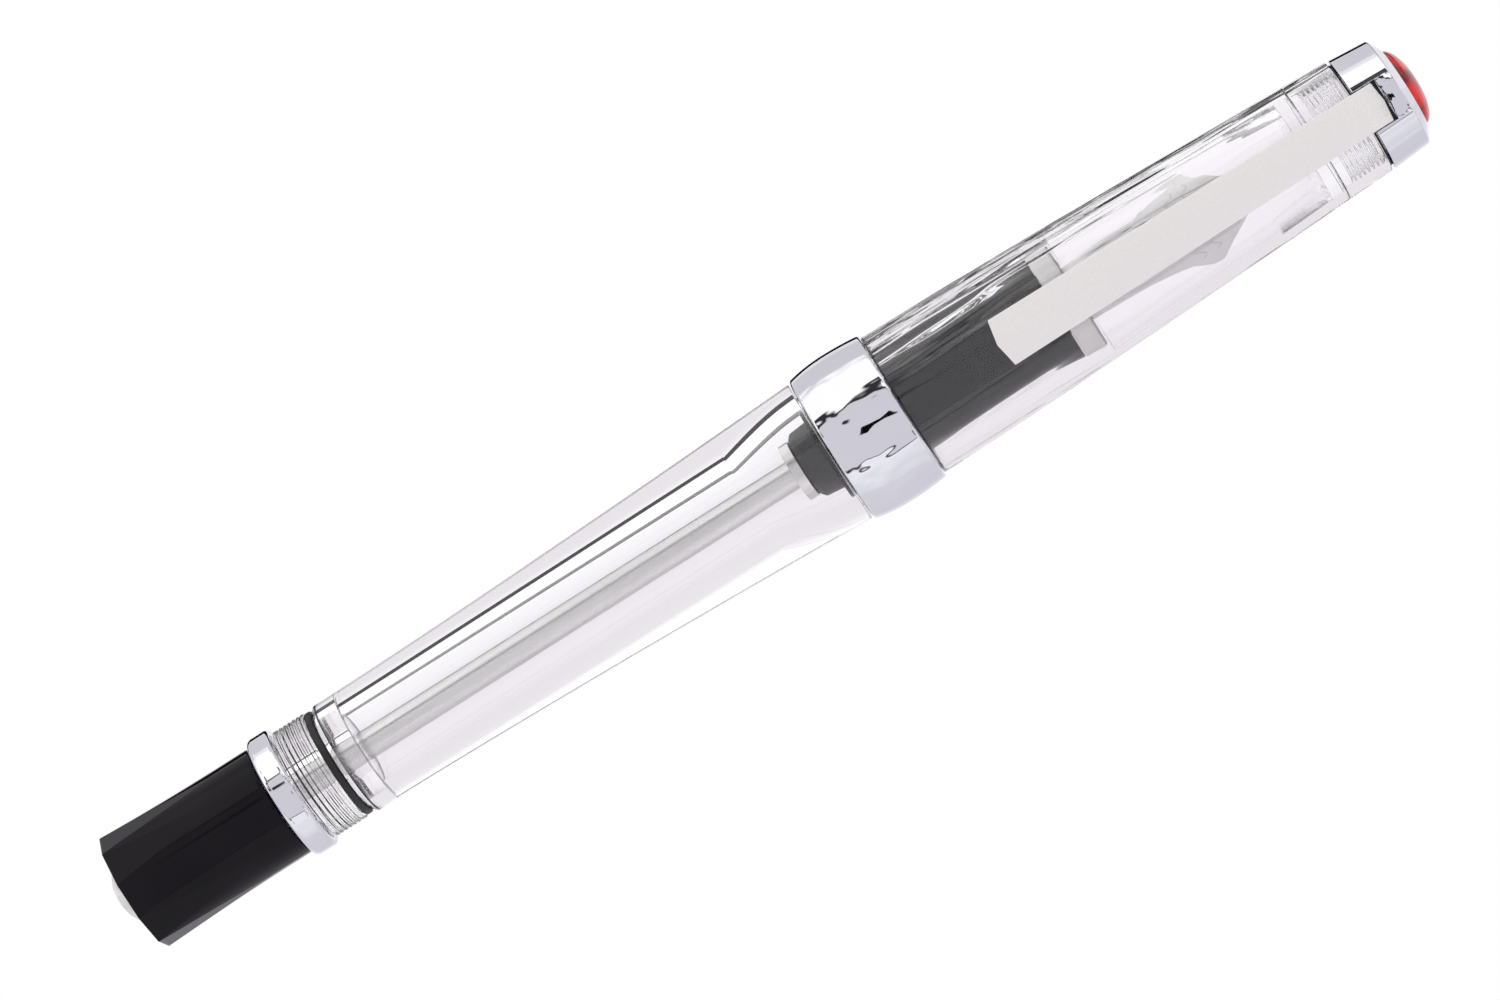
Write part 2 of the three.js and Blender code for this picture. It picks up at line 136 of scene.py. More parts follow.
def skin(name, rows, loop=False):
    """A surface through rows of points, each row a ring round the axis or one point on it."""
    starts = []
    points = []
    for row in rows:
        starts.append(len(points))
        points.extend(row)
    pairs = list(zip(range(len(rows)), range(1, len(rows))))
    if loop:
        pairs.append((len(rows) - 1, 0))
    faces = []
    for i, j in pairs:
        near, far = len(rows[i]), len(rows[j])
        for k in range(max(near, far)):
            corners = (
                starts[i] + k % near,
                starts[i] + (k + 1) % near,
                starts[j] + (k + 1) % far,
                starts[j] + k % far,
            )
            faces.append(list(dict.fromkeys(corners)))
    mesh = bpy.data.meshes.new(name)
    mesh.from_pydata(points, [], faces)
    mesh.shade_smooth()
    mesh.normals_split_custom_set_from_vertices(grid_normals(rows, loop))
    return link(name, mesh)


def outline(node):
    """A turned node's outline as (station, radius) points, and whether it closes on itself."""
    mesh = NODES[node].data
    spots = {}
    for vertex in mesh.vertices:
        x, y, z = vertex.co
        if abs(y) < HAIR and z < AXIS_Z + HAIR:
            spots[vertex.index] = (round((x - REAR_X) / MM, 3), round(abs(AXIS_Z - z) / MM, 3))
    near = defaultdict(set)
    for edge in mesh.edges:
        a, b = (spots.get(i) for i in edge.vertices)
        if a and b and a != b:
            near[a].add(b)
            near[b].add(a)
    ends = sorted(p for p in near if len(near[p]) == 1)
    walk = [ends[0] if ends else min(near)]
    while True:
        ahead = [p for p in sorted(near[walk[-1]]) if p not in walk]
        if not ahead:
            break
        walk.append(ahead[0])
    if ends:
        walk = [(s, 0.0) if i in (0, len(walk) - 1) else (s, r) for i, (s, r) in enumerate(walk)]
    area = sum(a[0] * b[1] - b[0] * a[1] for a, b in zip(walk, walk[1:] + walk[:1]))
    if area < 0:
        walk.reverse()
    return [Vector(point) for point in walk], not ends


def turn_between(a, b, c):
    first, second = b - a, c - b
    if first.length < 1e-6 or second.length < 1e-6:
        return 0.0
    return math.degrees(first.angle(second))


CORNER_SHARE = 0.42  # of a stretch, the most that rounding one corner may use
CORNER_STEP = 15  # degrees turned by each piece of a rounded corner
EVEN = 3  # a curve's neighbouring stretches differ by less than this many times
STRAIGHT = 1.0  # degrees; a smaller turn is left alone
CURVE_STEPS = 6


def smoothed(points, loop, setback=0.07, sharp=14.0):
    """An outline with its even stretches made into curves and its corners rounded off."""
    count = len(points)
    knots = []
    for i, spot in enumerate(points):
        end = not loop and i in (0, count - 1)
        before, after = points[i - 1], points[(i + 1) % count]
        first, second = (spot - before).length, (after - spot).length
        turn = 0.0 if end else turn_between(before, spot, after)
        even = not end and max(first, second) < EVEN * min(first, second)
        if even and turn < sharp:
            knots.append(([spot], (after - before).normalized()))
        elif end or turn < STRAIGHT:
            knots.append(([spot], None))
        else:
            cut = min(setback, CORNER_SHARE * first, CORNER_SHARE * second)
            enter = spot + (before - spot).normalized() * cut
            leave = spot + (after - spot).normalized() * cut
            steps = max(2, round(turn / CORNER_STEP))
            curve = []
            for k in range(steps + 1):
                t = k / steps
                curve.append(enter * (1 - t) ** 2 + spot * (2 * t * (1 - t)) + leave * t**2)
            knots.append((curve, None))
    result = []
    for i, (curve, lean) in enumerate(knots):
        result.extend(curve)
        if not loop and i == count - 1:
            break
        following, next_lean = knots[(i + 1) % count]
        if lean or next_lean:
            result.extend(curve_between(curve[-1], following[0], lean, next_lean))
    return result


def curve_between(start, stop, lean, next_lean):
    """Points strictly between two points, on a curve with the directions given at its ends."""
    chord = stop - start
    leave = lean * chord.length if lean else None
    arrive = next_lean * chord.length if next_lean else None
    leave = leave or chord * 1.5 - arrive * 0.5
    arrive = arrive or chord * 1.5 - leave * 0.5
    points = []
    for k in range(1, CURVE_STEPS):
        t = k / CURVE_STEPS
        points.append(
            start * (2 * t**3 - 3 * t**2 + 1)
            + leave * (t**3 - 2 * t**2 + t)
            + stop * (3 * t**2 - 2 * t**3)
            + arrive * (t**3 - t**2)
        )
    return points


# ---- screw threads ----

CAP_THREAD = {"depth": 0.3, "pitch": 1.1}
BARREL_THREAD = {"after_shoulder": 0.9, "before_front": 0.7}
MOUTH_THREAD = {"back": 0.6, "front": 6.2}  # from the cap's mouth
THREAD_STEPS = 14  # rows per turn
LEVEL = 1e-3  # how far off a straight stretch may be
LONGEST_RIDGE = 0.7  # along the pen, of the rings that stand for a thread in CAD


def groove(turns):
    """Depth of a thread's groove, 0 at the crest and 1 at the root, over one turn."""
    return smoothstep(0.2, 0.8, abs(2 * (turns % 1.0) - 1))


def with_thread(points, crest, back, front, depth, pitch):
    """Puts a screw thread into an outline's straight stretch at the crest radius."""
    for i, (a, b) in enumerate(zip(points, points[1:] + points[:1])):
        level = abs(a.y - crest) < LEVEL and abs(b.y - crest) < LEVEL
        if level and min(a.x, b.x) <= back + LEVEL and max(a.x, b.x) >= front - LEVEL:
            break
    forward = b.x > a.x
    count = round((front - back) / pitch * THREAD_STEPS)
    turns = []
    for k in range(count + 1):
        station = lerp(back, front, k / count)
        fade = smoothstep(0, 0.6 * pitch, min(station - back, front - station))
        turns.append((station, crest, depth * fade, pitch))
    if not forward:
        turns.reverse()
    return points[: i + 1] + turns + points[i + 1:]


def without_ridges(points):
    """The outline with its zigzag of thread rings made level, and what that zigzag measures."""
    run = []
    for i in range(1, len(points) - 1):
        rise, fall = points[i].y - points[i - 1].y, points[i + 1].y - points[i].y
        if rise * fall < 0 and abs(points[i + 1].x - points[i - 1].x) < LONGEST_RIDGE:
            run.append(i)
    first, last = points[run[0] - 1].x, points[run[-1] + 1].x
    radii = [points[i].y for i in run]
    crest = max(radii)
    pitch = abs(points[run[3]].x - points[run[1]].x)
    level = [Vector((first, crest)), Vector((last, crest))]
    plain = points[: run[0] - 1] + level + points[run[-1] + 2:]
    return plain, crest, min(first, last), max(first, last), crest - min(radii), pitch


def revolve(name, points, loop, around=AROUND):
    """Turned piece about the axis. A point's third value is the depth of a thread there."""
    rows = []
    for point in points:
        station, radius = point[0], point[1]
        depth, pitch = (point[2], point[3]) if len(point) > 3 else (0.0, 1.0)
        if radius < 1e-4:
            rows.append([place(station, 0, 0)])
            continue
        row = []
        for k in range(around):
            angle = 2 * math.pi * k / around
            dip = depth * groove(station / pitch + k / around) if depth else 0.0
            row.append(polar(station, radius - dip, angle))
        rows.append(row)
    return skin(name, rows, loop)


def dress(piece, node, finish):
    """Gives a piece its finish and lets it stand for a CAD node on that node's body."""
    piece.data.materials.clear()
    piece.data.materials.append(finish)
    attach(piece, NODES[node]["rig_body"])
    SLOT_OF[node]
    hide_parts(node)


def turned_piece(node, setback, sharp):
    points, loop = outline(node)
    return revolve(node + "_turned", smoothed(points, loop, setback, sharp), loop)


def threaded_piece(node, fullness, inset=0.06):
    """A turned piece whose CAD outline shows its thread as plain rings, with a rounded thread
    that is as deep as the rings times the fullness."""
    points, loop = outline(node)
    plain, crest, back, front, depth, pitch = without_ridges(points)
    curve = smoothed(plain, loop, inset)
    rows = with_thread(curve, crest, back + inset, front - inset, depth * fullness, pitch)
    return revolve(node + "_turned", rows, loop)


def barrel():
    """The barrel, with the cap's thread cut on its front end."""
    points, loop = outline("barrel")
    shoulder, front = span("cap_band")[0], span("barrel")[1]
    tenon = max(r for s, r in points if abs(s - front) < 0.01)
    depth, pitch = CAP_THREAD["depth"], CAP_THREAD["pitch"]
    start, stop = shoulder + BARREL_THREAD["after_shoulder"], front - BARREL_THREAD["before_front"]
    rows = with_thread(smoothed(points, loop), tenon, start, stop, depth, pitch)
    return revolve("barrel_turned", rows, loop)


def cap_body():
    """The cap's clear body, with its thread cut in the wall at the mouth."""
    points, loop = outline("cap_body")
    back = span("cap_body")[0]
    mouth = min(r for s, r in points if abs(s - back) < 0.01)
    depth, pitch = CAP_THREAD["depth"], CAP_THREAD["pitch"]
    start, stop = back + MOUTH_THREAD["back"], back + MOUTH_THREAD["front"]
    rows = with_thread(smoothed(points, loop), mouth, start, stop, -depth, pitch)
    return revolve("cap_body_turned", rows, loop)


# ---- blind cap: round stock with ten long flats milled on it ----

FLATS = 10
HALF_PITCH = math.pi / FLATS
MIN_OPENING = 0.004  # radians; the least half width of a flat
BLIND_COLLAR = {"back": 15.0, "radius": 5.72}  # where the blind cap's flats run out
COLLAR_LIP = {"length": 0.4, "depth": 0.25}
BLIND_BORE = {"under_ring": 2, "behind_gland": 0.4, "edge": 0.1}
REAR_EDGE = 0.06
POCKET_EDGE = 0.08


def column_angles(first_flat, opening):
    """Angles round the blind cap, each with the middle of its flat, or None on the round stock."""
    lip = min(0.3 * opening, 0.012)
    columns = []
    for k in range(FLATS):
        middle = first_flat + 2 * k * HALF_PITCH
        for across in (-1, -0.5, 0, 0.5, 1):
            columns.append((middle + across * (opening - lip), middle))
        gap = 2 * (HALF_PITCH - opening)
        for step in range(6):
            columns.append((middle + opening + gap * step / 5, None))
    return columns


def milled_ring(station, t, first_flat, rear_radius, inset=0.0):
    """A ring of the blind cap's outside; t is 0 at the rear and 1 where the flats run out."""
    opening = max(MIN_OPENING, HALF_PITCH * (1 - t))
    depth = lerp(rear_radius * math.cos(HALF_PITCH), BLIND_COLLAR["radius"], t) - inset
    ring = []
    for angle, middle in column_angles(first_flat, opening):
        bend = opening if middle is None else angle - middle
        ring.append(polar(station, depth / math.cos(bend), angle))
    return ring


def blind_cap():
    """Outside with flats and collar, bore for the gland, and a pocket for the end dome."""
    back, front = span("blind_cap")
    rear = [v.co for v in NODES["blind_cap"].data.vertices if v.co.x < REAR_X + (back + 0.01) * MM]
    corner = max(rear, key=lambda co: math.hypot(co.y, co.z - AXIS_Z))
    rear_radius = math.hypot(corner.y, corner.z - AXIS_Z) / MM
    first_flat = math.atan2(corner.y, corner.z - AXIS_Z) + HALF_PITCH
    collar_back, collar = BLIND_COLLAR["back"], BLIND_COLLAR["radius"]
    insert, floor = girth("rod_insert") + FIT, span("rod_insert")[0] - 2 * FIT
    bore = girth("blind_cap_ring") - BLIND_BORE["under_ring"]
    bore_back = span("rear_gland")[0] - BLIND_BORE["behind_gland"]
    edge = BLIND_BORE["edge"]
    pocket, pocket_floor = girth("blind_cap_end_dome") + FIT, span("blind_cap_end_dome")[1] + FIT

    def round_ring(station, radius, t=0.5):
        opening = max(MIN_OPENING, HALF_PITCH * (1 - t))
        return [polar(station, radius, angle) for angle, _ in column_angles(first_flat, opening)]

    rows = [[place(floor, 0, 0)], round_ring(floor, insert), round_ring(bore_back, insert)]
    rows += [round_ring(bore_back + FIT, insert + FIT), round_ring(bore_back + FIT, bore)]
    rows += [round_ring(front - edge, bore), round_ring(front, bore + edge)]
    for angle in (90, 60, 30, 0):
        bend = math.radians(angle)
        radius = collar - COLLAR_LIP["depth"] * (1 - math.cos(bend))
        rows.append(round_ring(front - COLLAR_LIP["length"] * (1 - math.sin(bend)), radius, 1))
    steps = 40
    for k in range(steps + 1):
        t = 1 - k / steps
        rows.append(milled_ring(lerp(back + REAR_EDGE, collar_back, t), t, first_flat, rear_radius))
    rows.append(milled_ring(back, 0, first_flat, rear_radius, REAR_EDGE))
    rows += [round_ring(back, pocket + POCKET_EDGE), round_ring(back + POCKET_EDGE, pocket)]
    rows += [round_ring(pocket_floor, pocket), [place(pocket_floor, 0, 0)]]
    return skin("blind_cap_faceted", rows)


# ---- copies of CAD solids with softened edges ----


def softened(node, name, width):
    """A copy of a CAD solid with its edges rounded off."""
    mesh = NODES[node].data.copy()
    bm = bmesh.new()
    bm.from_mesh(mesh)
    bmesh.ops.remove_doubles(bm, verts=bm.verts, dist=HAIR)
    bmesh.ops.dissolve_limit(bm, angle_limit=math.radians(1), verts=bm.verts, edges=bm.edges)
    bm.to_mesh(mesh)
    bm.free()
    mesh.materials.clear()
    return bevelled(link(name, mesh), width)


def bevelled(piece, width, segments=3, angle=20):
    """Rounds a piece's edges off and evens its shading."""
    bevel = piece.modifiers.new("edges", "BEVEL")
    bevel.width = width * MM
    bevel.segments = segments
    bevel.limit_method = "ANGLE"
    bevel.angle_limit = math.radians(angle)
    bevel.harden_normals = False
    piece.modifiers.new("shading", "WEIGHTED_NORMAL")
    piece.data.shade_smooth()
    return applied(piece)


def applied(piece):
    """Turns a piece's modifiers into plain mesh."""
    depsgraph = bpy.context.evaluated_depsgraph_get()
    mesh = bpy.data.meshes.new_from_object(piece.evaluated_get(depsgraph), depsgraph=depsgraph)
    piece.modifiers.clear()
    piece.data = mesh
    return piece


def lofted(name, rings):
    """A closed solid through rings of points, with a face on each end."""
    count = len(rings[0])
    points = [point for ring in rings for point in ring]
    faces = []
    for i in range(len(rings) - 1):
        for k in range(count):
            a, b = i * count + k, i * count + (k + 1) % count
            faces.append((a, b, b + count, a + count))
    faces.append(tuple(range(count)))
    faces.append(tuple(range(len(points) - count, len(points))))
    mesh = bpy.data.meshes.new(name)
    mesh.from_pydata(points, [], faces)
    bm = bmesh.new()
    bm.from_mesh(mesh)
    bmesh.ops.recalc_face_normals(bm, faces=bm.faces)
    bm.to_mesh(mesh)
    bm.free()
    return link(name, mesh)


# ---- clip and the top ring that holds it ----

CLIP_SIZE = {"thickness": 1.3, "gable": 0.35, "point": 0.5, "pad": 7.5, "shoulder": 138.54}
CLIP_END = {"emerge": 5.6, "point": 0.27, "tip_top": 10.4, "shoulder_top": 8.0, "root_half": 2.03}
CLIP_PAD = {"front": 0.85, "back": 3.25, "rise": 0.55, "steps": 5}  # stations from the tip
CLIP_TAB = {"back": 1.35, "front": 0.3, "side": 0.02, "lap": 0.1}  # the root, from the clip's end
LOW_GABLE = 0.15  # of the gable, where the clip goes into the ring


def clip_ring(station, half, top, bottom, tip=0.0, gable=CLIP_SIZE["gable"]):
    """Section of the clip: two top facets that meet on a ridge, over a flat underside."""
    return [
        place(station, half, top - gable),
        place(station - tip, 0, top),
        place(station, -half, top - gable),
        place(station, -half, bottom),
        place(station - tip, 0, bottom),
        place(station, half, bottom),
    ]


def clip():
    tip, end = span("clip")
    shoulder, thickness = CLIP_SIZE["shoulder"], CLIP_SIZE["thickness"]
    tip_half, root_half = girth("clip"), CLIP_END["root_half"]
    pad = CLIP_SIZE["pad"]

    def section(station, tip_by=0.0, bottom=None):
        t = (station - tip) / (shoulder - tip)
        top = lerp(CLIP_END["tip_top"], CLIP_END["shoulder_top"], t)
        under = top - thickness if bottom is None else bottom
        return clip_ring(station, lerp(tip_half, root_half, t), top, under, tip_by)

    rings = [section(tip + CLIP_SIZE["point"], CLIP_SIZE["point"], pad + 0.5)]
    rings += [section(tip + CLIP_PAD["front"], 0.1, pad), section(tip + CLIP_PAD["back"], 0, pad)]
    steps = CLIP_PAD["steps"]
    for k in range(1, steps + 1):
        station = tip + CLIP_PAD["back"] + CLIP_PAD["rise"] * k
        t = (station - tip) / (shoulder - tip)
        under = lerp(CLIP_END["tip_top"], CLIP_END["shoulder_top"], t) - thickness
        rings.append(section(station, 0, lerp(pad, under, smoothstep(0, steps, k))))
    rings.append(section(shoulder, 0.24))
    emerge, point = CLIP_END["emerge"], CLIP_END["point"]
    gable = CLIP_SIZE["gable"] * LOW_GABLE
    rings.append(clip_ring(end - point, root_half, emerge, emerge - 1, -point, gable))
    blade = lofted("clip_blade", rings)
    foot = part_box("clip")[0].z
    foot_height = (foot - AXIS_Z) / MM
    tab_back, tab_front = end - CLIP_TAB["back"], end - CLIP_TAB["front"]
    tab_half = root_half - CLIP_TAB["side"]
    plan = [(tab_back, tab_half), (tab_back, -tab_half), (tab_front, -tab_half), (tab_front, tab_half)]
    tab = [[place(s, y, z) for s, y in plan] for z in (foot_height, emerge - CLIP_TAB["lap"])]
    return joined("clip_blasted", [bevelled(blade, 0.09), bevelled(lofted("clip_tab", tab), 0.05)])


def joined(name, pieces):
    """One object from several closed meshes."""
    bm = bmesh.new()
    for piece in pieces:
        bm.from_mesh(piece.data)
        bpy.data.objects.remove(piece)
    mesh = bpy.data.meshes.new(name)
    bm.to_mesh(mesh)
    bm.free()
    mesh.shade_smooth()
    return link(name, mesh)


def cut(piece, cutter):
    """Takes the cutter's shape out of a piece."""
    boolean = piece.modifiers.new("cut", "BOOLEAN")
    boolean.operation = "DIFFERENCE"
    boolean.solver = "EXACT"
    boolean.object = cutter
    bpy.context.view_layer.update()
    applied(piece)
    bpy.data.objects.remove(cutter)
    return piece


SLOT = {"side": 0.12, "front": 0.2, "point": 0.47, "below_foot": 0.9, "top": 8}
# Width and heights of the dark sheet that paints the shade in the clip's slot.
SLOT_SHADE_SHEET = {"side": 0.06, "low": 0.42, "high": 0.52}  # heights over the jewel's radius


def top_ring():
    """The chrome ring at the cap's top, with the slot that the clip's root sits in."""
    points, loop = outline("cap_top_ring")
    ring = revolve("cap_top_ring_turned", smoothed(points, loop, 0.12), loop, 256)
    back, end = span("cap_top_ring")[0] - 1, span("clip")[1]
    half = CLIP_END["root_half"] + SLOT["side"]
    foot = (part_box("clip")[0].z - AXIS_Z) / MM - SLOT["below_foot"]
    corner, point = end + SLOT["front"], end + SLOT["point"]
    plan = [(back, half), (back, -half), (corner, -half), (point, 0), (corner, half)]
    rings = [[place(s, y, z) for s, y in plan] for z in (foot, SLOT["top"])]
    return bevelled(cut(ring, lofted("slot", rings)), 0.05, 2, 30)


def slot_shade_sheet():
    """A dark sheet in the ring's slot, under the clip's root, that paints the shade in the gap round the
    root.
    """
    back, end = span("cap_top_ring")[0] + FIT, span("clip")[1]
    half = CLIP_END["root_half"] + SLOT_SHADE_SHEET["side"]
    low, high = girth("finial_jewel") + SLOT_SHADE_SHEET["low"], girth("finial_jewel") + SLOT_SHADE_SHEET["high"]
    plan = [(half, low), (half, high), (-half, high), (-half, low)]
    rings = [[place(s, y, z) for y, z in plan] for s in (back, end + SLOT["front"])]
    return lofted("slot_shade_sheet", rings)


# ---- nib and feed ----

NIB_SHEET = 0.35  # thickness
BREATHER = {"station": 113.6, "radius": 0.62, "slit": 0.035}
TIPPING = {"radius": 0.4, "behind_tip": 0.42, "below_top": 0.36}
FEED_FIN = {"back": 97.0, "front": 112.5, "pitch": 0.75, "depth": 0.4}
FEED_GAP = 0.25  # under the nib's sheet


def sections(node):
    """A lofted node's stations, each with its half width and, over the axis, the heights of its
    top, of its side edge and of its underside."""
    groups = defaultdict(list)
    for vertex in NODES[node].data.vertices:
        x, y, z = vertex.co
        groups[round((x - REAR_X) / MM, 2)].append((abs(y) / MM, (z - AXIS_Z) / MM))
    rows = []
    for station, spots in sorted(groups.items()):
        half = max(y for y, _ in spots)
        edge = max(z for y, z in spots if y > half - 0.01)
        top = max(z for _, z in spots)
        rows.append((station, half, top, edge, min(z for _, z in spots)))
    return rows


def curve_at(rows, station, column):
    """Value of a column at a station, on a smooth curve through the rows."""
    i = 1
    while i < len(rows) - 1 and rows[i][0] < station:
        i += 1
    a, b = rows[i - 1], rows[i]

    def slope(k):
        low, high = rows[max(0, k - 1)], rows[min(len(rows) - 1, k + 1)]
        return (high[column] - low[column]) / (high[0] - low[0])

    width = b[0] - a[0]
    t = min(1.0, max(0.0, (station - a[0]) / width))
    start, stop = slope(i - 1) * width, slope(i) * width
    return (
        a[column] * (2 * t**3 - 3 * t**2 + 1)
        + start * (t**3 - 2 * t**2 + t)
        + b[column] * (3 * t**2 - 2 * t**3)
        + stop * (t**3 - t**2)
    )


class NibShape:
    """The nib's curved sheet, read from its CAD node."""

    def __init__(self):
        self.rows = sections("nib")
        self.back, self.tip = self.rows[0][0], self.rows[-1][0]
        self.arches = []
        for station, half, top, edge, _ in self.rows:
            drop = top - edge
            self.arches.append((station, (half * half + drop * drop) / (2 * drop)))

    def half(self, station):
        return curve_at(self.rows, station, 1)

    def spine(self, station):
        return curve_at(self.rows, station, 2)

    def arch(self, station):
        i = 1
        while i < len(self.arches) - 1 and self.arches[i][0] < station:
            i += 1
        (a, first), (b, second) = self.arches[i - 1], self.arches[i]
        return lerp(first, second, min(1.0, max(0.0, (station - a) / (b - a))))

    def height(self, station, y, under=0.0):
        radius = self.arch(station)
        inner = radius - under
        return self.spine(station) - radius + math.sqrt(max(0.0, inner * inner - y * y))


def nib_stations(shape):
    """Even stations along the nib, with closer ones over the breather hole."""
    stations = [lerp(shape.back, shape.tip, k / 110) for k in range(111)]
    hole, radius = BREATHER["station"], BREATHER["radius"]
    stations += [hole + radius * math.cos(math.pi * k / 16) for k in range(17)]
    return sorted(set(round(s, 4) for s in stations))


def half_gap(station):
    """Half of the gap between the nib's two sides, at the breather hole and along the slit."""
    hole, radius = BREATHER["station"], BREATHER["radius"]
    away = abs(station - hole)
    gap = math.sqrt(radius * radius - away * away) if away < radius else 0.0
    return max(gap, BREATHER["slit"]) if station > hole else gap


def nib_side(bm, shape, side, columns=12):
    """One half of the nib's surface, from the gap to the edge."""
    rows = []
    for station in nib_stations(shape):
        gap = half_gap(station)
        half = max(gap + 0.02, shape.half(station))
        row = []
        for k in range(columns + 1):
            y = side * lerp(gap, half, k / columns)
            row.append(bm.verts.new(place(station, y, shape.height(station, y))))
        rows.append(row)
    for near, far in zip(rows, rows[1:]):
        for k in range(columns):
            bm.faces.new((near[k], near[k + 1], far[k + 1], far[k]))


def tipping(shape):
    """The ball of hard metal under the nib's point."""
    size, middle = TIPPING["radius"], shape.tip - TIPPING["behind_tip"]
    height = shape.height(middle, 0) - TIPPING["below_top"]
    ball = []
    for k in range(13):
        angle = math.pi * k / 12
        station, radius = middle + size * math.cos(angle), size * math.sin(angle)
        if radius < 1e-6:
            ball.append([place(station, 0, height)])
            continue
        turns = [2 * math.pi * j / 24 for j in range(24)]
        ball.append([place(station, radius * math.sin(a), height + radius * math.cos(a)) for a in turns])
    return skin("nib_tipping", ball)


def nib(shape):
    """Curved sheet with a breather hole and a slit to the tip, and a ball of tipping."""
    bm = bmesh.new()
    for side in (-1, 1):
        nib_side(bm, shape, side)
    bmesh.ops.remove_doubles(bm, verts=bm.verts, dist=2 * HAIR)
    bmesh.ops.recalc_face_normals(bm, faces=bm.faces)
    if sum(face.normal.z for face in bm.faces) < 0:
        bmesh.ops.reverse_faces(bm, faces=bm.faces)
    mesh = bpy.data.meshes.new("nib_sheet")
    bm.to_mesh(mesh)
    bm.free()
    sheet = link("nib_sheet", mesh)
    solidify = sheet.modifiers.new("sheet", "SOLIDIFY")
    solidify.thickness = NIB_SHEET * MM
    solidify.offset = -1
    sheet.data.shade_smooth()
    applied(sheet)
    sheet.data.set_sharp_from_angle(angle=math.radians(40))
    return joined("nib_formed", [sheet, tipping(shape)])


SCROLL = {"back": 109, "front": 123.5, "rear_y": 2.72, "front_y": 2.4, "apart": 0.18}
SCROLL_CURLS = ((118.6, 0.5), (120.3, 0.42))  # station and size of each curl
SCROLL_EDGE = 0.3  # kept between the lines and the nib's edge
SCROLL_LINE = {"radius": 0.018, "above": 0.005}


def scroll_paths(shape):
    """A nearly straight double line on each side of the nib, crossed by small curls."""
    paths = []
    length = SCROLL["front"] - SCROLL["back"]

    def line_y(station):
        return lerp(SCROLL["rear_y"], SCROLL["front_y"], (station - SCROLL["back"]) / length)

    for side in (-1, 1):
        for inset in (0, SCROLL["apart"]):
            path = []
            for k in range(41):
                station = SCROLL["back"] + length * k / 40
                y = min(line_y(station), shape.half(station) - SCROLL_EDGE) - inset
                path.append((station, side * y))
            paths.append(path)
        for middle, size in SCROLL_CURLS:
            path = []
            for k in range(25):
                t = 2 * k / 24 - 1
                station = middle + size * math.sin(math.pi * t)
                path.append((station, side * (line_y(middle) + 0.3 + 1.3 * size * t)))
            paths.append(path)
    return paths


def engraving(shape):
    """The generic scroll on the nib, as thin wires that lie in its surface."""
    curve = bpy.data.curves.new("nib_engraving", "CURVE")
    curve.dimensions = "3D"
    curve.bevel_depth = SCROLL_LINE["radius"] * MM
    curve.bevel_resolution = 1
    for path in scroll_paths(shape):
        spline = curve.splines.new("POLY")
        spline.points.add(len(path) - 1)
        for point, (station, y) in zip(spline.points, path):
            height = shape.height(station, y) + SCROLL_LINE["above"]
            point.co = (*place(station, y, height), 1)
    lines = link("nib_engraving", curve)
    depsgraph = bpy.context.evaluated_depsgraph_get()
    mesh = bpy.data.meshes.new_from_object(lines.evaluated_get(depsgraph))
    bpy.data.objects.remove(lines)
    mesh.shade_smooth()
    return link("nib_scroll_lines", mesh)


def feed_stations(back, front):
    """Stations along the feed, each with the depth of the groove there."""
    stations = [(lerp(back, FEED_FIN["back"], k / 4), 0.0) for k in range(5)]
    pitch = FEED_FIN["pitch"]
    fins = int((FEED_FIN["front"] - FEED_FIN["back"]) / pitch)
    for k in range(fins):
        start = FEED_FIN["back"] + k * pitch
        cuts = ((0.02, 0), (0.04, 1), (0.5, 1), (0.52, 0))
        stations += [(start + at * pitch, FEED_FIN["depth"] * deep) for at, deep in cuts]
    return stations + [(lerp(FEED_FIN["front"] + 0.2, front, k / 8), 0.0) for k in range(9)]


def feed(shape):
    """Ink feed: a finned block under the nib that thins towards its front."""
    rows = sections("feed")
    rings = []
    for station, groove_depth in feed_stations(rows[0][0], rows[-1][0]):
        half = curve_at(rows, station, 1)
        low = curve_at(rows, station, 4)
        edge = shape.height(station, half, NIB_SHEET) - FEED_GAP
        ring = []
        for k in range(9):
            y = half * (1 - k / 4)
            ring.append(place(station, y, shape.height(station, y, NIB_SHEET) - FEED_GAP))
        drop = max(0.05, edge - low - groove_depth)
        for k in range(1, 12):
            angle = math.pi * k / 12
            y = -(half - groove_depth * 0.6) * math.cos(angle)
            ring.append(place(station, y, edge - drop * math.sin(angle)))
        rings.append(ring)
    return bevelled(lofted("feed_finned", rings), 0.03, 1, 30)


# ---- materials ----


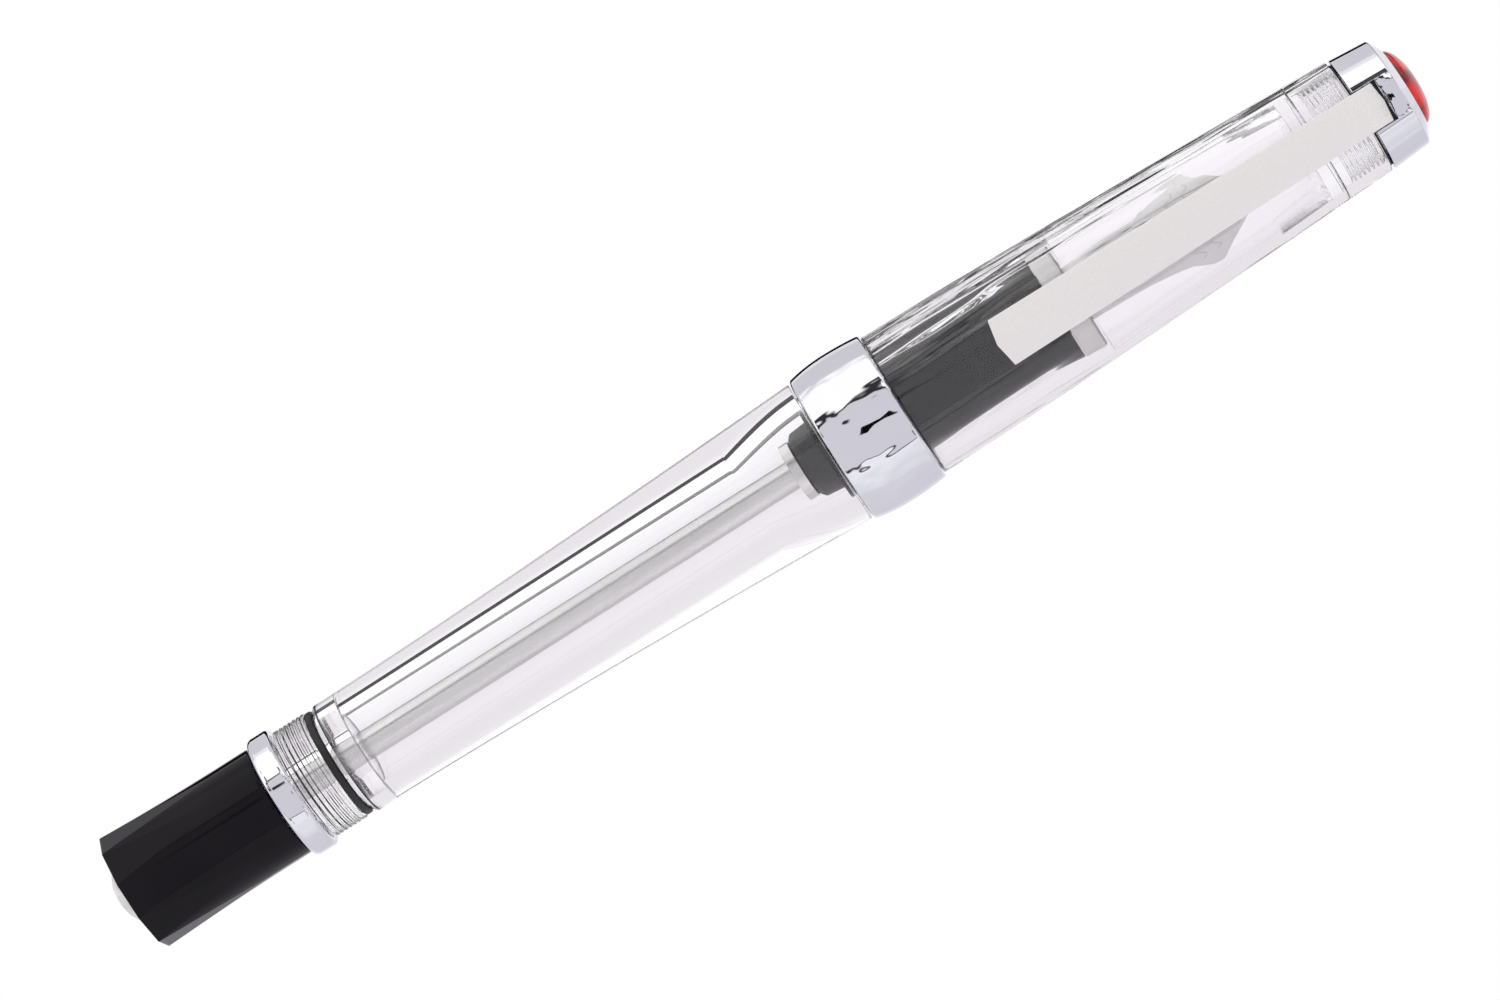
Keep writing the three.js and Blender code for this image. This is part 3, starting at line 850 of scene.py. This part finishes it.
class Finish:
    """A node material with one Principled shader, built step by step."""

    def __init__(self, name, **sockets):
        self.material = bpy.data.materials.new(name)
        self.material.use_nodes = True
        self.tree = self.material.node_tree
        self.shader = self.tree.nodes["Principled BSDF"]
        for socket, value in sockets.items():
            self.shader.inputs[socket.replace("_", " ")].default_value = value
        place_node = self.tree.nodes.new("ShaderNodeTexCoord")
        self.place = place_node.outputs["Object"]

    def node(self, kind, **values):
        node = self.tree.nodes.new(kind)
        for key, value in values.items():
            setattr(node, key, value)
        return node

    def wire(self, source, target):
        self.tree.links.new(source, target)

    def noise(self, scale, detail=3.0, stretch=(1, 1, 1), rough=0.5):
        mapping = self.node("ShaderNodeMapping")
        mapping.inputs["Scale"].default_value = stretch
        self.wire(self.place, mapping.inputs["Vector"])
        noise = self.node("ShaderNodeTexNoise")
        noise.inputs["Scale"].default_value = scale
        noise.inputs["Detail"].default_value = detail
        noise.inputs["Roughness"].default_value = rough
        self.wire(mapping.outputs["Vector"], noise.inputs["Vector"])
        return noise.outputs["Fac"]

    def mapped(self, source, low, high, start=0.3, stop=0.7):
        node = self.node("ShaderNodeMapRange")
        limits = {"From Min": start, "From Max": stop, "To Min": low, "To Max": high}
        for socket, value in limits.items():
            node.inputs[socket].default_value = value
        self.wire(source, node.inputs["Value"])
        return node.outputs["Result"]

    def vary(self, socket, source, low, high):
        self.wire(self.mapped(source, low, high), self.shader.inputs[socket])
        return self

    def tint(self, source, first, second, start=0.3, stop=0.7):
        ramp = self.node("ShaderNodeValToRGB")
        for element, spot, colour in zip(ramp.color_ramp.elements, (start, stop), (first, second)):
            element.position = spot
            element.color = (*colour, 1)
        self.wire(source, ramp.inputs["Fac"])
        self.wire(ramp.outputs["Color"], self.shader.inputs["Base Color"])
        return self

    def relief(self, source, strength, height):
        bump = self.node("ShaderNodeBump")
        bump.inputs["Strength"].default_value = strength
        bump.inputs["Distance"].default_value = height * MM
        self.wire(source, bump.inputs["Height"])
        self.wire(bump.outputs["Normal"], self.shader.inputs["Normal"])
        return self


def clear_finish(name):
    finish = Finish(name, Transmission_Weight=1.0, IOR=1.49, Roughness=0.0)
    finish.shader.inputs["Base Color"].default_value = (0.99, 0.985, 0.992, 1)
    return finish


def clear_plastic():
    """Polished clear plastic, very slightly wavy."""
    finish = clear_finish("clear_plastic")
    return finish.relief(finish.noise(260, 2, (0.35, 1, 1)), 0.03, 0.2).material


def cap_clear_plastic():
    """The cap's plastic, with long marks that are strongest at its mouth and on its +Y side."""
    finish = clear_finish("cap_clear_plastic")
    marks = finish.noise(330, 1, (0.2, 2.2, 2.2))
    parts = finish.node("ShaderNodeSeparateXYZ")
    finish.wire(finish.place, parts.inputs[0])
    mouth_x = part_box("cap_band")[1].x
    fade = finish.mapped(parts.outputs["X"], 1.0, 0.25, mouth_x + 0.01, mouth_x + 0.035)
    side = finish.mapped(parts.outputs["Y"], 0.15, 1.0, -0.001, 0.004)
    for mask in (fade, side):
        product = finish.node("ShaderNodeMath", operation="MULTIPLY")
        finish.wire(marks, product.inputs[0])
        finish.wire(mask, product.inputs[1])
        marks = product.outputs[0]
    return finish.relief(marks, 0.85, 0.6).material


def black_plastic():
    finish = Finish("black_plastic", IOR=1.5, Specular_IOR_Level=0.14)
    finish.tint(finish.noise(120), (0.005, 0.004, 0.006), (0.009, 0.007, 0.0095))
    finish.vary("Roughness", finish.noise(900, 4, (0.2, 1, 1)), 0.05, 0.12)
    return finish.relief(finish.noise(300, 2), 0.04, 0.1).material


def chrome():
    finish = Finish("chrome", Metallic=1.0)
    finish.tint(finish.noise(80), (0.89, 0.89, 0.92), (0.93, 0.93, 0.96))
    return finish.vary("Roughness", finish.noise(1500, 4), 0.02, 0.05).material


def satin_steel():
    finish = Finish("satin_steel", Metallic=0.6)
    finish.tint(finish.noise(7000, 3), (0.93, 0.91, 0.89), (0.985, 0.97, 0.955))
    finish.vary("Roughness", finish.noise(6000, 3), 0.62, 0.72)
    return finish.relief(finish.noise(11000, 4, (1, 1, 1), 0.6), 0.18, 0.02).material


def steel():
    finish = Finish("steel", Metallic=1.0)
    finish.tint(finish.noise(500, 4, (0.04, 1, 1)), (0.52, 0.515, 0.505), (0.76, 0.755, 0.74))
    finish.vary("Roughness", finish.noise(1600, 4, (0.1, 1, 1)), 0.24, 0.36)
    return finish.relief(finish.noise(5000, 3, (0.02, 1, 1)), 0.1, 0.02).material


def nib_steel():
    finish = Finish("nib_steel", Metallic=0.85)
    finish.tint(finish.noise(900, 4, (0.1, 1, 1)), (0.82, 0.815, 0.8), (0.89, 0.885, 0.87))
    return finish.vary("Roughness", finish.noise(1800, 4), 0.4, 0.48).material


def engraved_steel():
    finish = Finish("engraved_steel", Metallic=1.0)
    finish.tint(finish.noise(2000), (0.3, 0.29, 0.28), (0.42, 0.41, 0.39))
    return finish.vary("Roughness", finish.noise(2500), 0.35, 0.5).material


def brass():
    finish = Finish("brass", Metallic=1.0)
    finish.tint(finish.noise(600, 4), (0.6, 0.46, 0.24), (0.74, 0.59, 0.33))
    return finish.vary("Roughness", finish.noise(1500, 3, (6, 1, 1)), 0.25, 0.4).material


def rubber():
    finish = Finish("rubber", IOR=1.5)
    finish.tint(finish.noise(600, 4), (0.008, 0.007, 0.008), (0.02, 0.019, 0.02))
    finish.vary("Roughness", finish.noise(1200, 4), 0.4, 0.6)
    return finish.relief(finish.noise(4000, 4), 0.15, 0.02).material


def pearl():
    finish = Finish("pearl", Coat_Weight=0.6, Coat_Roughness=0.05, Metallic=0.35)
    finish.tint(finish.noise(700, 5), (0.6, 0.61, 0.58), (0.86, 0.86, 0.83))
    return finish.vary("Roughness", finish.noise(900, 3), 0.2, 0.35).material


def red_jewel():
    finish = Finish("red_jewel", Coat_Weight=0.35, Coat_Roughness=0.02, IOR=1.45, Roughness=0.2)
    streaks = finish.noise(420, 2)
    return finish.tint(streaks, (0.22, 0.003, 0.003), (0.75, 0.014, 0.008), 0.38, 0.58).material


# ---- studio: world, floor, camera ----

# Brightness and colour round the pen, at degrees away from straight up, towards +Y. Polished
# surfaces reflect one set, and rays that have gone through clear parts meet the other.
GREY_LILAC = (0.66, 0.645, 0.7)
INSIDE = (0.94, 0.92, 0.96)  # the light overhead, as surfaces inside the clear parts get it
DARK, BLACK, WHITE = (0.03, 0.03, 0.035), (0.004, 0.004, 0.005), (1.0, 1.0, 1.0)
FILL = (0.97, 0.95, 0.945)  # the light on dull surfaces
OVERHEAD = [
    (-86, (0.74, 0.74, 0.79)),
    (-43, (0.9, 0.9, 0.95)),
    (-41.5, (0.05, 0.02, 0.02)),
    (-39, (0.05, 0.02, 0.02)),
    (-37, GREY_LILAC),
    (34, GREY_LILAC),
    (36, DARK),
    (43, DARK),
    (47, (1.1, 1.1, 1.1)),
    (88, (1.1, 1.1, 1.1)),
]
REFLECTED = [
    (-180, (0.88, 0.86, 0.9)),
    (-138, (0.66, 0.64, 0.7)),
    (-88, (0.7, 0.69, 0.75)),
    *OVERHEAD,
    (99, (0.66, 0.65, 0.7)),
    (140, (0.64, 0.63, 0.68)),
    (150, (0.85, 0.84, 0.87)),
    (180, (0.88, 0.86, 0.9)),
]
SEEN_THROUGH = [
    (-180, (0.87, 0.84, 0.87)),
    (-170, (0.84, 0.8, 0.84)),
    (-100, (0.82, 0.78, 0.83)),
    (-86, (1.05, 1.03, 1.08)),
    (-42, (1.1, 1.08, 1.12)),
    (-36, INSIDE),
    (31, INSIDE),
    (35, (0.3, 0.29, 0.31)),
    (44, (0.3, 0.29, 0.31)),
    (50, (1.4, 1.4, 1.4)),
    (95, (1.4, 1.4, 1.4)),
    (150, (1.0, 0.99, 1.0)),
    (165, (0.94, 0.92, 0.95)),
    (180, (0.87, 0.84, 0.87)),
]
RAGGED = {"degrees": 34, "scale": 4.5}  # how far the reflected strips' edges wander
BOUNCES = {"max_bounces": 32, "transmission_bounces": 32, "glossy_bounces": 12, "diffuse_bounces": 3}


def sky_ramp(tree, turn, stops):
    """The colours of the directions round the pen, as a light."""
    ramp = tree.nodes.new("ShaderNodeValToRGB")
    elements = ramp.color_ramp.elements
    while len(elements) < len(stops):
        elements.new(0.5)
    for element, (degrees, _) in zip(elements, stops):
        element.position = (degrees + 180) / 360
    for element, (_, colour) in zip(elements, stops):
        element.color = (*colour, 1)
    tree.links.new(turn, ramp.inputs["Fac"])
    light = tree.nodes.new("ShaderNodeBackground")
    tree.links.new(ramp.outputs["Color"], light.inputs["Color"])
    return light.outputs[0]


def turn_round_pen(tree, where):
    """A direction's turn about the pen's axis, as 0 to 1 from straight down through -Y and up."""
    make, wire = tree.nodes.new, tree.links.new
    parts = make("ShaderNodeSeparateXYZ")
    wire(where, parts.inputs[0])
    angle = make("ShaderNodeMath")
    angle.operation = "ARCTAN2"
    wire(parts.outputs["Y"], angle.inputs[0])
    wire(parts.outputs["Z"], angle.inputs[1])
    turn = make("ShaderNodeMapRange")
    turn.inputs["From Min"].default_value = -math.pi
    turn.inputs["From Max"].default_value = math.pi
    wire(angle.outputs[0], turn.inputs["Value"])
    return turn.outputs["Result"]


def ragged_turn(tree, where, turn):
    """The turn with some noise added, for strips with uneven edges."""
    make, wire = tree.nodes.new, tree.links.new
    noise = make("ShaderNodeTexNoise")
    noise.inputs["Scale"].default_value = RAGGED["scale"]
    noise.inputs["Detail"].default_value = 1
    wire(where, noise.inputs["Vector"])
    wobble = make("ShaderNodeMapRange")
    wobble.inputs["To Min"].default_value = -RAGGED["degrees"] / 360
    wobble.inputs["To Max"].default_value = RAGGED["degrees"] / 360
    wire(noise.outputs["Fac"], wobble.inputs["Value"])
    bent = make("ShaderNodeMath")
    wire(turn, bent.inputs[0])
    wire(wobble.outputs["Result"], bent.inputs[1])
    return bent.outputs[0]


def plain_light(tree, colour):
    light = tree.nodes.new("ShaderNodeBackground")
    light.inputs["Color"].default_value = (*colour, 1)
    return light.outputs[0]


def studio():
    """Softboxes and dark strips that run along the pen, as colours of the world's directions."""
    world = bpy.data.worlds.new("studio")
    world.use_nodes = True
    bpy.context.scene.world = world
    tree = world.node_tree
    make, wire = tree.nodes.new, tree.links.new
    where = make("ShaderNodeTexCoord").outputs["Generated"]
    turn = turn_round_pen(tree, where)
    light = sky_ramp(tree, ragged_turn(tree, where, turn), REFLECTED)
    kinds = (
        ("Is Transmission Ray", sky_ramp(tree, turn, SEEN_THROUGH)),
        ("Is Diffuse Ray", plain_light(tree, FILL)),
        ("Is Camera Ray", plain_light(tree, WHITE)),
    )
    ray = make("ShaderNodeLightPath")
    for kind, other in kinds:
        mix = make("ShaderNodeMixShader")
        wire(ray.outputs[kind], mix.inputs["Fac"])
        wire(light, mix.inputs[1])
        wire(other, mix.inputs[2])
        light = mix.outputs[0]
    output = tree.nodes.get("World Output") or make("ShaderNodeOutputWorld")
    wire(light, output.inputs["Surface"])
    scene = bpy.context.scene
    scene.view_settings.view_transform = "Standard"
    for setting, count in BOUNCES.items():
        setattr(scene.cycles, setting, count)


def stage_sheet(name, corners, colour, hidden_from, glow=0.0):
    """A flat, dull sheet that the kinds of ray named don't meet."""
    mesh = bpy.data.meshes.new(name)
    mesh.from_pydata(corners, [], [tuple(range(len(corners)))])
    finish = Finish(name, Roughness=1.0, Specular_IOR_Level=0, Emission_Strength=glow)
    finish.shader.inputs["Base Color"].default_value = (*colour, 1)
    finish.shader.inputs["Emission Color"].default_value = (*WHITE, 1)
    mesh.materials.append(finish.material)
    piece = link(name, mesh)
    for ray in hidden_from:
        setattr(piece, "visible_" + ray, False)
    return piece


CARD = {"height": -2, "near": 9.2, "far": 13.6, "half_length": 120}


def dark_card():
    """A black card beside and below the pen, which draws the dark lines in the clear walls."""
    half, height = CARD["half_length"] * MM, CARD["height"] * MM
    near, far = CARD["near"] * MM, CARD["far"] * MM
    corners = [(-half, near, height), (half, near, height), (half, far, height), (-half, far, height)]
    piece = stage_sheet("dark_card", corners, BLACK, ("camera", "diffuse", "shadow"))


CAMERA_BODY = {
    "height": 560,
    "outline": (
        (-40, -30), (0, -52), (34, -14), (70, -14), (118, -44), (100, 40), (60, 16), (-14, 48),
    ),
}


def camera_body():
    """The dark body of the camera over the pen, which is only seen in reflections."""
    height = CAMERA_BODY["height"] * MM
    corners = [(x * MM, y * MM, height) for x, y in CAMERA_BODY["outline"]]
    hidden_from = ("camera", "diffuse", "transmission", "shadow")
    piece = stage_sheet("camera_body", corners, BLACK, hidden_from)


FLOOR_HALF = 2.0  # metres


def floor():
    """A white floor that only the camera sees. It glows, so the pen throws no shadow on it."""
    corners = [(x * FLOOR_HALF, y * FLOOR_HALF, 0) for x, y in ((-1, -1), (1, -1), (1, 1), (-1, 1))]
    hidden_from = ("diffuse", "glossy", "transmission", "shadow")
    piece = stage_sheet("floor", corners, (0, 0, 0), hidden_from, glow=1.0)


# Millimetres and degrees. The picture is as wide as "across" at the target's distance.
CAMERA = {"distance": 585, "lean": 2.8, "roll": 32.37, "across": 140.7, "target": (-1.45, 0.17, 8)}
SENSOR = 36


def camera():
    """Nearly straight down on the pen, which rises to the right in the picture."""
    lean, roll = math.radians(CAMERA["lean"]), math.radians(CAMERA["roll"])
    back = Vector((math.sin(lean), 0, math.cos(lean)))
    along = (Vector((1, 0, 0)) - back * back.x).normalized()
    across = back.cross(along)
    right = along * math.cos(roll) - across * math.sin(roll)
    up = along * math.sin(roll) + across * math.cos(roll)
    view = Matrix((right, up, back)).transposed().to_4x4()
    view.translation = (Vector(CAMERA["target"]) + back * CAMERA["distance"]) * MM
    data = bpy.data.cameras.new("camera")
    data.sensor_width = SENSOR
    data.lens = SENSOR * CAMERA["distance"] / CAMERA["across"]
    data.clip_start, data.clip_end = 0.01, 20
    piece = bpy.data.objects.new("camera", data)
    piece.matrix_world = view
    bpy.context.scene.collection.objects.link(piece)
    bpy.context.scene.camera = piece


# ---- assembly ----

FINISHES = {
    "clear_plastic": clear_plastic(),
    "black_plastic": black_plastic(),
    "chrome": chrome(),
    "satin_steel": satin_steel(),
    "steel": steel(),
    "brass": brass(),
    "rubber": rubber(),
    "pearl": pearl(),
    "red_jewel": red_jewel(),
}
# Corner rounding in millimetres, and the sharpest turn in degrees that counts as a curve.
TURNED = {
    "blind_cap_ring": (0.3, 14),
    "blind_cap_end_dome": (0.05, 20),
    "rod_insert": (0.1, 14),
    "plunger_rod": (0.15, 14),
    "plunger_washer": (0.1, 14),
    "plunger_seal": (0.15, 14),
    "gland_o_ring": (0.18, 14),
    "gland_bush": (0.1, 14),
    "rod_seal_rear": (0.2, 14),
    "rod_seal_front": (0.2, 14),
    "grip_section": (0.08, 14),
    "section_o_ring": (0.2, 14),
    "section_trim_ring": (0.08, 14),
    "nib_collar": (0.08, 14),
    "cap_band": (0.12, 14),
    "inner_cap": (0.08, 14),
    "top_gasket": (0.1, 14),
    "finial_jewel": (0.05, 40),
}
for node, (setback, sharp) in TURNED.items():
    dress(turned_piece(node, setback, sharp), node, FINISHES[SLOT_OF[node]])
for node, fullness in (("rear_gland", 0.2), ("finial_plug", 1.0)):
    dress(threaded_piece(node, fullness), node, FINISHES["clear_plastic"])
dress(barrel(), "barrel", FINISHES["clear_plastic"])
dress(cap_body(), "cap_body", cap_clear_plastic())
dress(blind_cap(), "blind_cap", FINISHES["black_plastic"])
dress(softened("plunger_tip_nut", "plunger_tip_nut_hex", 0.12), "plunger_tip_nut", FINISHES["steel"])
dress(clip(), "clip", FINISHES["satin_steel"])
dress(top_ring(), "cap_top_ring", FINISHES["chrome"])
# A dark sheet with the rubber finish paints the shade in the clip's slot.
slot_shade = slot_shade_sheet()
slot_shade.data.materials.append(FINISHES["rubber"])
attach(slot_shade, "cap")
NIB = NibShape()
dress(nib(NIB), "nib", nib_steel())
dress(feed(NIB), "feed", FINISHES["black_plastic"])
scroll = engraving(NIB)
scroll.data.materials.append(engraved_steel())
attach(scroll, "barrel")

studio()
dark_card()
camera_body()
floor()
camera()
